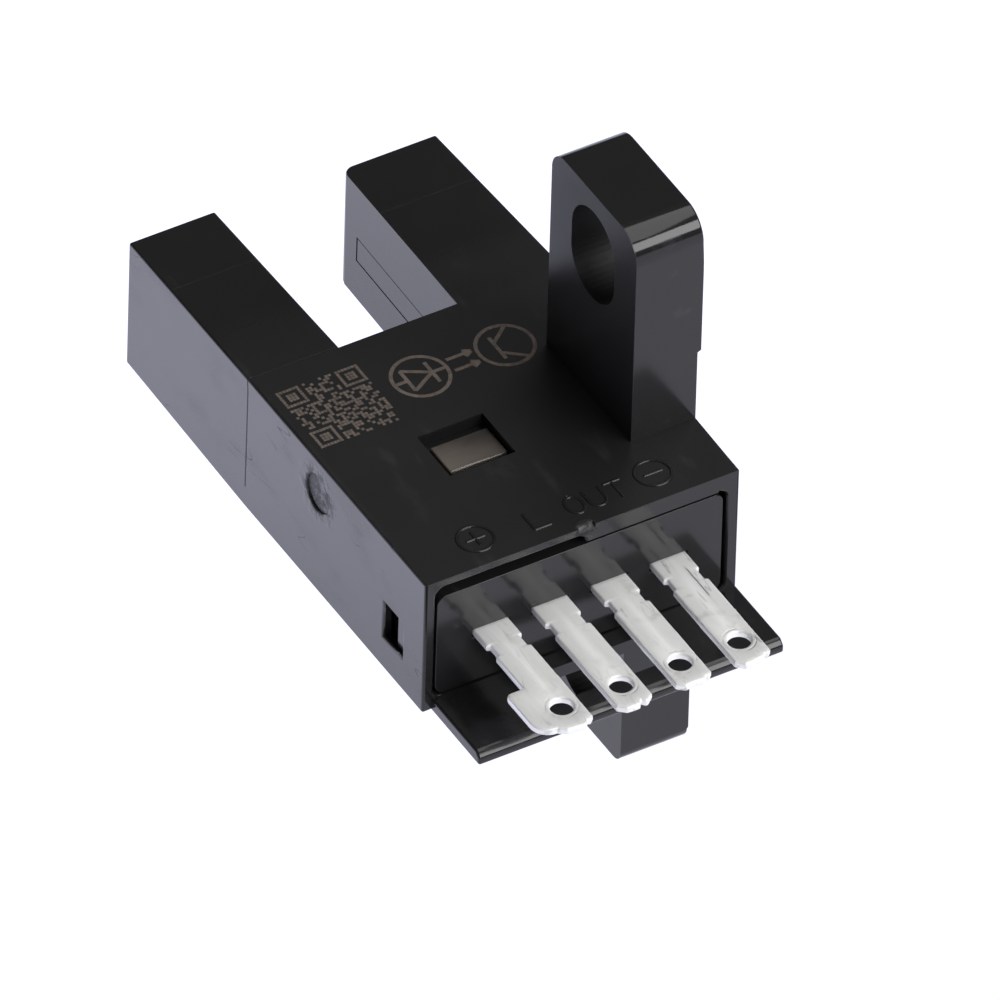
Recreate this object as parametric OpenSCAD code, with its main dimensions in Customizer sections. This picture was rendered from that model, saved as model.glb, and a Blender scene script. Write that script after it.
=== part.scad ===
// Slotted optical switch: a forked sensor with a hollow moulded case, two mounting ears,
// a base with four flat terminals that closes one end, and the board, emitter and detector inside.
// The origin is on the mounting pads, midway between the two mounting holes.
// X points out of the pads, Y points from the terminals to the arm tips, Z is up.

/* [Body] */
// Thickness of the body
body_h = 6.26; // [6.1:0.02:8]
// Length of the body from the slot floor to the rim at the terminals
body_l = 13; // [12.8:0.1:18]
// Distance from the slot floor to the line of the mounting holes
floor_to_holes = 6.67; // [6.2:0.01:7.4]

/* [Slot and arms] */
// Width of the slot at its floor
slot_w = 5; // [4:0.05:5.4]
// Depth of the slot, which is the length of the emitter's arm
arm_l = 8.89; // [8.2:0.01:14]
// How much shorter the detector's arm is
arm_step = 0.22; // [0:0.01:0.3]
// Width of the emitter's arm, on the side away from the pads
emitter_arm_w = 3.86; // [3.5:0.02:4.6]
// Width of the detector's arm, on the side of the pads
detector_arm_w = 4.49; // [4.1:0.01:5.2]
// Taper of each slot face from the floor to the tip
slot_draft = 0.14; // [0:0.01:0.25]
// Taper of the upper and lower faces of the arms
arm_draft = 0.18; // [0:0.01:0.25]
// Taper of the outer face of the emitter's arm
far_arm_draft = 0.06; // [0:0.01:0.25]
// Taper of the outer face of the arm on the side of the pads
pad_arm_draft = 0.32; // [0:0.01:0.4]
// Rounding of the slot's edge at the tip of the detector's arm
tip_round = 0.45; // [0.2:0.05:0.8]
// Chamfer along the lower edges of the slot
slot_chamfer = 0.76; // [0.4:0.02:0.9]
// Wall between the slot and the hollow of an arm
slot_wall = 0.8; // [0.6:0.05:1]
// Outer wall of the arms, also at their tips
arm_wall = 0.7; // [0.55:0.05:0.9]
// Distance from the arm tips to the light beam
beam_from_tip = 2.7; // [2.5:0.05:3.2]

/* [Mounting ears] */
// Overall span of the two ears
ear_span = 25.6; // [25:0.1:32]
// Width of an ear along the body
ear_w = 6.15; // [5.6:0.05:6.5]
// Thickness of an ear, without its pad
ear_t = 2.75; // [2:0.05:3.2]
// Rounding of the upper ear's corner on the side of the terminals
ear_round = 1.2; // [0.4:0.1:1.6]
// Rounding of the upper ear's corner on the side of the arms
far_ear_round = 0.9; // [0.4:0.1:1.6]
// Rounding of the corners of the lower ear
low_ear_round = 0.5; // [0.3:0.1:1.6]
// How far a pad stands out from the side of the body
pad_proud = 0.15; // [0.1:0.01:0.4]
// Distance of the pads from the middle of the body
pad_start = 6.33; // [5:0.01:6.8]
// Distance from the end of an ear to the middle of its hole
hole_from_end = 2.9; // [2.6:0.05:3.4]
// Width of a mounting hole
hole_w = 3.1; // [2.6:0.1:3.4]
// Length of a mounting hole
hole_l = 4.1; // [3.6:0.1:4.4]

/* [Terminal end] */
// Side wall at the rim on the side away from the pads
far_wall = 0.45; // [0.4:0.05:0.8]
// Side wall at the rim on the side of the pads
near_wall = 0.52; // [0.44:0.02:0.9]
// Upper wall of the body
top_wall = 0.74; // [0.6:0.02:0.9]
// Thickness of the shelf, which is also the lower wall
shelf_t = 0.56; // [0.45:0.02:0.7]
// Height of the relief under the upper wall at the rim, from the far side to the gate
relief_h = 0.35; // [0.1:0.01:0.36]
// Length of that relief along the body
relief_l = 1.2; // [0.8:0.1:1.5]
// How far the shelf sticks out below the terminals
shelf_l = 3.49; // [2:0.01:4]
// Setback of the shelf's edge on the side away from the pads
shelf_setback = 0.38; // [0:0.02:0.8]
// Chamfer on the front edge of the shelf
shelf_chamfer = 0.24; // [0.1:0.02:0.4]
// Rounding of the hollow's long corners
cavity_round = 0.4; // [0.2:0.05:0.6]
// Length of a snap window along the body
snap_l = 1.4; // [1.2:0.05:1.6]
// Height of a snap window
snap_h = 1.7; // [1.2:0.05:2]
// How far the snap windows lie below the middle of the hollow
snap_drop = 0.7; // [0.4:0.05:0.8]
// Distance from the rim to the snap windows
snap_from_rim = 1.54; // [1.4:0.02:1.8]
// Width of the gate nick in the upper rim
gate_w = 0.7; // [0.3:0.1:1]
// Depth of the gate nick
gate_d = 0.21; // [0.1:0.01:0.3]
// Sideways place of the gate nick from the middle of the rim
gate_shift = 0.16; // [-1:0.02:1]
// Diameter of the round dimple on the side
mark_d = 1.6; // [1.2:0.1:2.4]
// Depth of the dimple
mark_depth = 0.1; // [0.05:0.01:0.15]
// Distance from the slot floor to the middle of the dimple
mark_from_floor = 5.15; // [3:0.05:7]
// Distance from the upper face to the middle of the dimple
mark_from_top = 1.6; // [1.4:0.05:2.4]

/* [Indicator] */
// Width of the indicator pocket across the body
pocket_w = 2.78; // [2.6:0.02:3.2]
// Length of the indicator pocket along the body
pocket_l = 2.44; // [2:0.02:2.8]
// Depth of the indicator pocket
pocket_d = 0.56; // [0.4:0.02:0.7]
// Distance from the outer side of the body to the pocket
pocket_from_side = 3.84; // [3.6:0.02:4.2]
// Distance from the rim to the pocket
pocket_from_rim = 4.82; // [4.7:0.02:5.4]
// Width of the window plate
plate_w = 2.44; // [2:0.02:2.5]
// Length of the window plate
plate_l = 1.56; // [1.2:0.02:1.7]
// Thickness of the window plate
plate_t = 0.26; // [0.15:0.01:0.3]

/* [Terminals] */
// Distance between neighbouring terminals
pitch = 2.51; // [2.4:0.01:2.6]
// Distance from the outer side of the body to the first terminal
first_terminal = 2.91; // [2.8:0.01:3.1]
// Width of a terminal
blade_w = 1.5; // [1.2:0.05:1.7]
// Thickness of a terminal
blade_t = 0.3; // [0.2:0.02:0.4]
// How far the terminals stand out past the rim
blade_l = 6.3; // [5.6:0.1:8]
// Height of a terminal's upper face above the middle of the body
blade_top = -0.05; // [-0.2:0.01:0.2]
// Diameter of the solder hole
eye_d = 0.9; // [0.6:0.05:1.1]
// Distance from the tip to the solder hole
eye_from_tip = 1.27; // [1.1:0.01:1.6]
// Corner cut at the tip
tip_cut = 0.3; // [0.1:0.05:0.5]
// Depth of the two notches that hold the plug
notch_d = 0.13; // [0.05:0.01:0.25]
// Length of the notches along the blade
notch_l = 0.6; // [0.3:0.05:1]
// Distance from the rim to the notches
notch_from_rim = 0.9; // [0.6:0.05:1.4]
// How far the tab of the first terminal stands out sideways
tab_w = 0.75; // [0.4:0.05:1]
// Length of that tab along the blade
tab_l = 2.5; // [1.8:0.1:3]
// Distance from the tip to that tab
tab_from_tip = 0.3; // [0.2:0.05:0.6]

/* [Inside] */
// Setback of the terminal base from the rim
base_setback = 0.08; // [0:0.02:0.3]
// Length of the terminal base
base_l = 3.8; // [3.5:0.05:4]
// How far a snap hook reaches into its window
hook_d = 0.36; // [0.2:0.02:0.42]
// Thickness of the circuit board
board_t = 0.8; // [0.6:0.05:0.9]
// Height of the emitter and detector packages
chip_h = 2.4; // [2.2:0.05:2.6]
// Length of the packages along the arms
chip_l = 2.8; // [2.4:0.05:3]
// Radius of the lenses
lens_r = 0.7; // [0.5:0.05:0.9]
// How far the lenses stand out
lens_d = 0.5; // [0.3:0.02:0.52]
// Distance from the arm tips to the ends of the arm windows
window_from_tip = 1.48; // [1.3:0.02:2]
// Height of the arm windows
window_h = 1.16; // [0.9:0.02:1.6]
// Diameter of the leads
lead_d = 0.45; // [0.35:0.05:0.5]

/* [Small parts] */
// Length of the resistors, the capacitor and the indicator
part_l = 1.6; // [1.2:0.1:1.8]
// Width of these parts
part_w = 0.8; // [0.6:0.05:0.9]
// Length of their end caps
part_cap = 0.3; // [0.2:0.05:0.4]
// Height of the resistors
resistor_h = 0.45; // [0.3:0.05:0.6]
// Height of the capacitor
capacitor_h = 0.8; // [0.5:0.05:1]
// Length of the transistor's package
transistor_l = 2.9; // [2.4:0.1:3]
// Width of the transistor's package
transistor_w = 1.3; // [1:0.1:1.5]
// Height of the transistor's package
transistor_h = 0.95; // [0.7:0.05:1.1]
// How far the transistor's package stands off the board
transistor_lift = 0.1; // [0.05:0.01:0.15]
// Reach of the transistor's legs past its package
leg_l = 0.5; // [0.3:0.05:0.7]
// Width of the transistor's legs
leg_w = 0.4; // [0.3:0.05:0.5]
// Thickness of the transistor's legs
leg_t = 0.15; // [0.1:0.01:0.2]
// Distance between the transistor's two legs on one side
leg_pitch = 1.9; // [1.6:0.05:2]

/* [Fits] */
// Play between pieces that slide together
fit = 0.05; // [0.02:0.01:0.08]
// Room between the board or packages and the walls round them
room = 0.15; // [0.1:0.01:0.2]
// Gap between the terminal base and the side walls
base_play = 0.12; // [0.05:0.01:0.15]
// Gap between the terminal base and the upper wall
base_drop = 0.19; // [0.05:0.01:0.25]

/* [Hidden] */
$fn = 48;
e = 0.5;

black = [0.12, 0.12, 0.13];
filter_black = [0.2, 0.18, 0.22];
tin = [0.84, 0.84, 0.83];
clear_grey = [0.55, 0.52, 0.48];
board_green = [0.1, 0.36, 0.22];
epoxy = [0.3, 0.33, 0.42];
epoxy_dark = [0.08, 0.08, 0.09];
ceramic = [0.78, 0.7, 0.56];

// Outer faces of the body
xr = -pad_proud;
body_w = emitter_arm_w + slot_w + detector_arm_w;
xl = xr - body_w;
zt = body_h / 2;
zb = -zt;
floor_y = floor_to_holes;
tip_y = floor_y + arm_l;
pad_tip_y = tip_y - arm_step;
rim_y = floor_y - body_l;

// Slot faces at the floor, and the height of the arms at their tips
xs0 = xl + emitter_arm_w;
xs1 = xs0 + slot_w;
tip_zt = zt - arm_draft;
slot_lean = slot_draft / arm_l;
pad_tip_x = xs1 + slot_lean * (arm_l - arm_step);

// Hollow of the body and of the arms
xi0 = xl + far_wall;
xi1 = xr - near_wall;
zi0 = zb + shelf_t;
zi1 = zt - top_wall;
yi1 = floor_y - slot_wall;
gate_x = (xl + xr) / 2 + gate_shift;
xa0 = xl + arm_wall + far_arm_draft;
xa1 = xs0 - slot_wall;
xb0 = xs1 + slot_wall;
xb1 = xr - arm_wall - pad_arm_draft;
za0 = zi0 + arm_draft;
za1 = zi1 - arm_draft;
ya1 = tip_y - arm_wall - fit;
yb1 = pad_tip_y - arm_wall - fit;

// Terminal base, board and beam
base_y0 = rim_y + base_setback;
base_y1 = base_y0 + base_l;
ledge_l = 0.6;
ledge_t = 0.45;
board_z1 = -chip_h / 2;
board_z0 = board_z1 - board_t;
board_y0 = base_y1 + fit;
beam_y = tip_y - beam_from_tip;
snap_y0 = rim_y + snap_from_rim;
snap_z = (zi0 + zi1) / 2 - snap_drop;

// Terminals
blade_z0 = blade_top - blade_t;
blade_tip = rim_y - blade_l;
tail_w = 0.7;
tail_y = base_y1 + ledge_l + 0.45;
pin_out = 0.24;
pin_z = board_z0 - pin_out;
function terminal_x(i) = xl + first_terminal + pitch * i;

// Indicator pocket, its boss inside, and the light pipe below the plate
pocket_x0 = xl + pocket_from_side;
pocket_y1 = rim_y + pocket_from_rim + pocket_l;
pocket_z = zt - pocket_d;
boss_side = 0.35;
boss_t = 0.4;
plate_x = pocket_x0 + pocket_w - plate_w / 2 - fit;
plate_y = pocket_y1 - pocket_l / 2;
pipe_w = 1.3;
pipe_l = 0.9;
led_h = 0.6;
pipe_z = board_z1 + led_h + room;

// Arm windows: a strip that fills the opening and a flange that seats inside
flange = 0.3;
flange_t = 0.25;
strip_sink = 0.02;
strip_drop = fit / 2;
win_y0 = floor_y;
win_y1 = tip_y - window_from_tip;
chip_gap = room;

// Leads under the emitter and the detector, along the arm
emitter_pins = [-0.8, 0.8];
detector_pins = [-0.95, 0, 0.95];

module box(x0, x1, y0, y1, z0, z1) {
    translate([x0, y0, z0]) cube([x1 - x0, y1 - y0, z1 - z0]);
}

// Extrusions of a plane outline along X (outline in Y and Z) and along Y (outline in X and Z)
module along_x(x0, x1) {
    translate([x0, 0, 0]) rotate([90, 0, 90]) linear_extrude(x1 - x0) children();
}

module along_y(y0, y1) {
    translate([0, y1, 0]) rotate([90, 0, 0]) linear_extrude(y1 - y0) children();
}

// Rectangle with true round corners
module round_rect(x0, x1, y0, y1, r) {
    translate([x0 + r, y0]) square([x1 - x0 - 2 * r, y1 - y0]);
    translate([x0, y0 + r]) square([x1 - x0, y1 - y0 - 2 * r]);
    for (x = [x0 + r, x1 - r], y = [y0 + r, y1 - r]) translate([x, y]) circle(r);
}

// What a rounding of radius r takes off a corner; sx and sy point into the material
module corner_waste(x, y, sx, sy, r) {
    translate([x, y]) scale([sx, sy]) difference() {
        translate([-e, -e]) square(r + e);
        translate([r, r]) circle(r);
    }
}

// Forked plan of the body and arms, with tapered slot and outer faces
module fork_plan() {
    difference() {
        polygon([[xl, rim_y], [xl, floor_y], [xl + far_arm_draft, tip_y], [xs0 - slot_draft, tip_y],
            [xs0, floor_y], [xs1, floor_y], [pad_tip_x, pad_tip_y], [xr - pad_arm_draft, pad_tip_y],
            [xr, floor_y], [xr, rim_y]]);
        corner_waste(pad_tip_x, pad_tip_y, 1, -1, tip_round);
    }
}

// Side outline of the body and arms
module side_outline() {
    polygon([[rim_y, zb], [floor_y, zb], [tip_y, -tip_zt], [tip_y, tip_zt], [floor_y, zt], [rim_y, zt]]);
}

module fork() {
    intersection() {
        translate([0, 0, zb - e]) linear_extrude(body_h + 2 * e) fork_plan();
        along_x(xl - e, xr + e) side_outline();
    }
}

// What the chamfers take off the lower edges of the slot; each follows the taper of its arm
module slot_chamfers() {
    for (s = [-1, 1]) {
        translate([s < 0 ? xs0 : xs1, floor_y, zb]) rotate([0, 0, -s * atan(slot_lean)])
            mirror([s < 0 ? 0 : 1, 0, 0]) along_y(0, arm_l + e)
                polygon([[e, -e], [e, slot_chamfer + e], [-slot_chamfer - e, -e]]);
    }
}

// Outline of both ears in Y and Z
module ear_outline() {
    difference() {
        translate([-ear_w / 2, -ear_span / 2]) square([ear_w, ear_span]);
        corner_waste(-ear_w / 2, ear_span / 2, 1, -1, ear_round);
        corner_waste(ear_w / 2, ear_span / 2, -1, -1, far_ear_round);
        for (s = [-1, 1]) {
            corner_waste(s * ear_w / 2, -ear_span / 2, -s, 1, low_ear_round);
        }
    }
}

// The two ears are one plate through the body, with a raised pad at each end
module ears() {
    along_x(xr - ear_t, xr) ear_outline();
    for (s = [-1, 1]) {
        intersection() {
            along_x(xr - e, 0) ear_outline();
            translate([0, 0, s * (pad_start + ear_span / 2)]) cube([3, ear_w + 1, ear_span], center = true);
        }
    }
}

// Oblong hole along X, wide enough for a screw with some adjustment
module mounting_hole(z) {
    half = (hole_l - hole_w) / 2;
    for (s = [-1, 1]) {
        translate([xr - ear_t - e, 0, z + s * half]) rotate([0, 90, 0])
            cylinder(h = ear_t + pad_proud + 2 * e, d = hole_w);
    }
    box(xr - ear_t - e, pad_proud + e, -hole_w / 2, hole_w / 2, z - half, z + half);
}

module shelf() {
    along_x(xl + shelf_setback, xr)
        polygon([[rim_y + e, zb], [rim_y + e, zi0], [rim_y - shelf_l + shelf_chamfer, zi0],
            [rim_y - shelf_l, zi0 - shelf_chamfer], [rim_y - shelf_l, zb]]);
}

// Hollow of the body and of both arms, with a boss left under the indicator pocket
module hollow() {
    difference() {
        along_y(rim_y - e, yi1) round_rect(xi0, xi1, zi0, zi1, cavity_round);
        box(pocket_x0 - boss_side, pocket_x0 + pocket_w + boss_side, pocket_y1 - pocket_l - boss_side,
            pocket_y1 + boss_side, zi1 - boss_t, zt);
    }
    box(xa0, xa1, yi1 - e, ya1, za0, za1);
    box(xb0, xb1, yi1 - e, yb1, za0, za1);
    along_y(rim_y - e, rim_y + relief_l)
        round_rect(xi0, gate_x, zi1 - 2 * cavity_round, zi1 + relief_h, cavity_round);
}

// Through openings for the arm windows; the slot side follows the taper
module window_openings() {
    box(xa1 - e, xs0 + e, win_y0, win_y1, -window_h / 2, window_h / 2);
    box(xs1 - e, xb0 + e, win_y0, win_y1, -window_h / 2, window_h / 2);
}

module snap_windows() {
    for (x = [xl - e, xi1 - e]) {
        box(x, x + far_wall + near_wall + 2 * e, snap_y0, snap_y0 + snap_l, snap_z - snap_h / 2,
            snap_z + snap_h / 2);
    }
}

module indicator_pocket() {
    box(pocket_x0, pocket_x0 + pocket_w, pocket_y1 - pocket_l, pocket_y1, pocket_z, zt + e);
    box(plate_x - pipe_w / 2 - fit, plate_x + pipe_w / 2 + fit, plate_y - pipe_l / 2 - fit,
        plate_y + pipe_l / 2 + fit, zi1 - boss_t - e, zt);
}

// Nick that the moulding gate leaves in the upper rim
module gate_nick() {
    side = gate_d * sqrt(2);
    translate([gate_x, rim_y, zt]) rotate([45, 0, 0])
        cube([gate_w, side, side], center = true);
}

// Round dimple on the outer side
module side_dimple() {
    translate([xl - e, floor_y - mark_from_floor, zt - mark_from_top]) rotate([0, 90, 0])
        cylinder(h = e + mark_depth, d = mark_d);
}

module case() {
    color(black) difference() {
        union() {
            fork();
            ears();
            shelf();
        }
        hollow();
        window_openings();
        snap_windows();
        indicator_pocket();
        for (s = [-1, 1]) mounting_hole(s * (ear_span / 2 - hole_from_end));
        slot_chamfers();
        gate_nick();
        side_dimple();
    }
}

// Wedge-shaped snap hook; it points to -X
module hook() {
    along = snap_l - 2 * fit;
    translate([0, 0, -(snap_h / 2 - fit)]) linear_extrude(snap_h - 2 * fit)
        polygon([[e, fit], [-hook_d, fit], [-hook_d, along / 2], [0, along + fit], [e, along + fit]]);
}

module terminal_base() {
    color(black) difference() {
        union() {
            along_y(base_y0, base_y1)
                round_rect(xi0 + base_play, xi1 - base_play, zi0 + fit, zi1 - base_drop, cavity_round);
            box(xi0 + cavity_round + fit, xi1 - cavity_round - fit, base_y1 - e, base_y1 + ledge_l,
                board_z0 - ledge_t, board_z0);
            translate([xi0 + base_play, snap_y0, snap_z]) hook();
            translate([xi1 - base_play, snap_y0, snap_z]) mirror([1, 0, 0]) hook();
        }
        for (i = [0:3]) {
            x = terminal_x(i);
            box(x - blade_w / 2 - fit, x + blade_w / 2 + fit, base_y0 - e, base_y1 + e, blade_z0 - fit,
                blade_top + fit);
        }
    }
}

// Flat outline of a terminal about its own middle line
module blade_outline(with_tab) {
    difference() {
        union() {
            polygon([[-blade_w / 2, base_y1], [-blade_w / 2, blade_tip + tip_cut],
                [-blade_w / 2 + tip_cut, blade_tip], [blade_w / 2 - tip_cut, blade_tip],
                [blade_w / 2, blade_tip + tip_cut], [blade_w / 2, base_y1]]);
            translate([-tail_w / 2, base_y1 - e]) square([tail_w, tail_y - base_y1 + e + blade_t / 2]);
            if (with_tab) {
                y0 = blade_tip + tab_from_tip;
                translate([-blade_w / 2 - tab_w, y0 + tab_w]) square([tab_w + e, tab_l - tab_w]);
                intersection() {
                    translate([-blade_w / 2, y0 + tab_w]) circle(tab_w);
                    translate([-blade_w / 2 - tab_w, y0]) square(tab_w);
                }
                translate([-blade_w / 2 - fit, y0]) square([e, tab_w]);
            }
        }
        for (s = [-1, 1]) {
            translate([s * blade_w / 2 - notch_d, rim_y - notch_from_rim - notch_l])
                square([2 * notch_d, notch_l]);
        }
        translate([0, blade_tip + eye_from_tip]) circle(d = eye_d);
    }
}

// Terminal with a tail bent down through the board
module terminal(i) {
    color(tin) translate([terminal_x(i), 0, 0]) {
        translate([0, 0, blade_z0]) linear_extrude(blade_t) blade_outline(i == 0);
        box(-tail_w / 2, tail_w / 2, tail_y - blade_t / 2, tail_y + blade_t / 2,
            pin_z, blade_z0 + blade_t / 2);
    }
}

module terminal_1() { terminal(0); }
module terminal_2() { terminal(1); }
module terminal_3() { terminal(2); }
module terminal_4() { terminal(3); }

// Clear plate in the pocket, with a light pipe down to the indicator
module indicator_window() {
    color(clear_grey) {
        box(plate_x - plate_w / 2, plate_x + plate_w / 2, plate_y - plate_l / 2, plate_y + plate_l / 2,
            pocket_z, pocket_z + plate_t);
        box(plate_x - pipe_w / 2, plate_x + pipe_w / 2, plate_y - pipe_l / 2, plate_y + pipe_l / 2,
            pipe_z, pocket_z + plate_t / 2);
    }
}

// Arm window for the arm away from the pads: strip in the opening, flange against the inner wall
module arm_window() {
    function face_x(y) = xs0 - strip_sink - slot_lean * (y - floor_y);
    y0 = win_y0 + fit;
    y1 = win_y1 - fit;
    h = window_h - 2 * fit;
    translate([0, 0, -h / 2 - strip_drop]) linear_extrude(h)
        polygon([[xa1 - flange_t, y0], [face_x(y0), y0], [face_x(y1), y1], [xa1 - flange_t, y1]]);
    box(xa1 - flange_t, xa1, y0, y1, -h / 2 - flange, h / 2 + flange);
}

// Mirrors a piece of one arm across the middle of the slot
module other_arm() {
    translate([xs0 + xs1, 0, 0]) mirror([1, 0, 0]) children();
}

module emitter_window() {
    color(filter_black) arm_window();
}

module detector_window() {
    color(filter_black) other_arm() arm_window();
}

// Side-looking package with a lens that faces the slot
chip_x1 = xa1 - flange_t - chip_gap - lens_d;
chip_x0 = xa0 + fit;
chip_mid = (chip_x0 + chip_x1) / 2;

module chip() {
    box(chip_x0, chip_x1, beam_y - chip_l / 2, beam_y + chip_l / 2, board_z1, board_z1 + chip_h);
    translate([chip_x1, beam_y, board_z1 + chip_h / 2]) rotate([0, 90, 0]) lens();
}

// Spherical cap on a short foot, turned about its own axis
module lens() {
    ball = (lens_r * lens_r + lens_d * lens_d) / (2 * lens_d);
    rotate_extrude() intersection() {
        translate([0, lens_d - ball]) circle(ball);
        translate([0, -0.1]) square([lens_r + e, lens_d + 0.2]);
    }
}

module lead(y) {
    translate([chip_mid, beam_y + y, pin_z]) cylinder(h = board_z1 - pin_z, d = lead_d);
}

module emitter() {
    color(epoxy) chip();
}

module emitter_leads() {
    color(tin) for (y = emitter_pins) lead(y);
}

module detector() {
    color(epoxy_dark) other_arm() chip();
}

module detector_leads() {
    color(tin) other_arm() for (y = detector_pins) lead(y);
}

// Forked board with a prong in each arm, and holes for the tails and leads
module circuit_board() {
    y1 = yi1 - room;
    prong = beam_y + chip_l / 2 + room;
    function lead_hole(y) = [chip_mid, beam_y + y, board_z0 - e];
    color(board_green) difference() {
        union() {
            box(xi0 + room + cavity_round, xi1 - room - cavity_round, board_y0, y1, board_z0, board_z1);
            box(xa0 + room, xa1 - room - flange_t, y1 - e, prong, board_z0, board_z1);
            box(xb0 + room + flange_t, xb1 - room, y1 - e, prong, board_z0, board_z1);
        }
        for (i = [0:3]) {
            x = terminal_x(i);
            box(x - tail_w / 2 - fit, x + tail_w / 2 + fit, tail_y - blade_t / 2 - fit,
                tail_y + blade_t / 2 + fit, board_z0 - e, board_z1 + e);
        }
        for (y = emitter_pins) {
            translate(lead_hole(y)) cylinder(h = board_t + 2 * e, d = lead_d + 2 * fit);
        }
        other_arm() for (y = detector_pins) {
            translate(lead_hole(y)) cylinder(h = board_t + 2 * e, d = lead_d + 2 * fit);
        }
    }
}

// Two-ended part on the upper face of the board, with a metal cap at each end
module chip_part(x, y, h, body_colour) {
    translate([x, y, board_z1]) {
        color(body_colour) translate([-part_l / 2 + part_cap, -part_w / 2, 0])
            cube([part_l - 2 * part_cap, part_w, h]);
        color(tin) for (s = [0, 1]) translate([-part_l / 2 + s * (part_l - part_cap), -part_w / 2, 0])
            cube([part_cap, part_w, h]);
    }
}

// Rows and columns of the small parts, counted from the walls round the board
row_1 = yi1 - room - leg_l - part_w;
row_2 = row_1 - 2 * part_w;
col_1 = xi0 + room + cavity_round + part_w + part_l / 2;
col_2 = col_1 + part_l + 2 * part_w;
transistor_x = xi1 - room - cavity_round - part_w - transistor_l / 2;

module indicator_led() {
    chip_part(plate_x, plate_y, led_h, clear_grey);
}

// Leg with a foot on the board and a rise into the package; it points to -Y
module leg() {
    translate([-leg_w / 2, -transistor_w / 2 - leg_l, 0]) cube([leg_w, leg_l + leg_t, leg_t]);
    translate([-leg_w / 2, -transistor_w / 2 - leg_t, 0])
        cube([leg_w, 2 * leg_t, transistor_lift + transistor_h / 2]);
}

module output_transistor() {
    translate([transistor_x, (row_1 + row_2) / 2, board_z1]) {
        color(epoxy_dark) translate([-transistor_l / 2, -transistor_w / 2, transistor_lift])
            cube([transistor_l, transistor_w, transistor_h]);
        color(tin) {
            for (s = [-1, 1]) translate([s * leg_pitch / 2, 0, 0]) leg();
            mirror([0, 1, 0]) leg();
        }
    }
}

module emitter_resistor() {
    chip_part(col_1, row_1, resistor_h, epoxy_dark);
}

module indicator_resistor() {
    chip_part(col_1, row_2, resistor_h, epoxy_dark);
}

module bypass_capacitor() {
    chip_part(col_2, row_1, capacitor_h, ceramic);
}

// Solder cones under the board, round every tail and lead
module solder_cone() {
    translate([0, 0, pin_z + 0.04]) cylinder(h = board_z0 - pin_z - 0.04, r1 = 0.28, r2 = 0.44);
}

module solder_joints() {
    color(tin) {
        for (i = [0:3]) difference() {
            translate([terminal_x(i), tail_y, 0]) solder_cone();
            translate([terminal_x(i), tail_y, 0]) cube([tail_w, blade_t, 20], center = true);
        }
        for (y = emitter_pins) difference() {
            translate([chip_mid, beam_y + y, 0]) solder_cone();
            translate([chip_mid, beam_y + y, -10]) cylinder(h = 20, d = lead_d);
        }
        other_arm() for (y = detector_pins) difference() {
            translate([chip_mid, beam_y + y, 0]) solder_cone();
            translate([chip_mid, beam_y + y, -10]) cylinder(h = 20, d = lead_d);
        }
    }
}

case();
terminal_base();
terminal_1();
terminal_2();
terminal_3();
terminal_4();
indicator_window();
emitter_window();
detector_window();
emitter();
emitter_leads();
detector();
detector_leads();
circuit_board();
indicator_led();
output_transistor();
emitter_resistor();
indicator_resistor();
bypass_capacitor();
solder_joints();
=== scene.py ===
import math

import bmesh
import bpy
import numpy as np
from bpy.props import FloatProperty, FloatVectorProperty, IntProperty, PointerProperty
from bpy.types import Operator, Panel, PropertyGroup
from mathutils import Matrix, Vector


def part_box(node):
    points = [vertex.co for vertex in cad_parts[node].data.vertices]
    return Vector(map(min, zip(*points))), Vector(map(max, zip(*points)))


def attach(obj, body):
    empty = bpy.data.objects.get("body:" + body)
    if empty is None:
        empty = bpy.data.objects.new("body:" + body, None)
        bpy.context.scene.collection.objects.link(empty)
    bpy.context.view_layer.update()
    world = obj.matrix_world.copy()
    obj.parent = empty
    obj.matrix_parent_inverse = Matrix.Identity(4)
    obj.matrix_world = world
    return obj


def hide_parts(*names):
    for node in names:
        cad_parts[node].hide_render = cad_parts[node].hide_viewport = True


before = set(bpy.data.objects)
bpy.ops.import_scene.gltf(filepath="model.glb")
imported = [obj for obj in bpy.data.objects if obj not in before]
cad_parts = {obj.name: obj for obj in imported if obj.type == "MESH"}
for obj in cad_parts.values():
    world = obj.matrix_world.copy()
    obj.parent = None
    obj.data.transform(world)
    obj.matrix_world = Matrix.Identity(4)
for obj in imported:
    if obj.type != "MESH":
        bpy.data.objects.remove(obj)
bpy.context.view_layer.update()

bl_info = {
    "name": "Slotted optical switch",
    "version": (1, 0, 0),
    "blender": (4, 5, 0),
    "location": "3D View > Sidebar > Switch",
    "description": "Dresses the packed slotted optical switch with its finishes and sets the studio",
    "category": "Object",
}

MM = 0.001
CASE_LOW = np.array(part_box("case")[0])
BASE_HIGH = np.array(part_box("terminal_base")[1])
PLATE_LOW, PLATE_HIGH = (np.array(corner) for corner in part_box("indicator_window"))
TERMINALS = ("terminal_1", "terminal_2", "terminal_3", "terminal_4")

# Copies of CAD nodes: least distance between two points, angle in degrees up to which faces lie in one plane, least
# angle that counts as an edge, width up to which a face is shaded round, steps of a rounding, shortest side that two
# roundings leave room for, as a share of their radius, and margin round the boxes whose edges stay sharp
DOUBLES = 0.002 * MM
PLANE = 0.6
SHARP = 28.0
THIN = 0.23 * MM
ROUNDING_STEPS = 4
ROOM = 2.2
MARGIN = 0.1 * MM
# Angle in degrees up to which a new piece is shaded round
ROUND_UP_TO = 35.0

# Places that the case keeps to, in metres: top of the body, rim of the connector end, floor of the slot
TOP_Z = 3.13 * MM
RIM_Y = -6.33 * MM
SLOT_FLOOR_Y = 6.67 * MM
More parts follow.
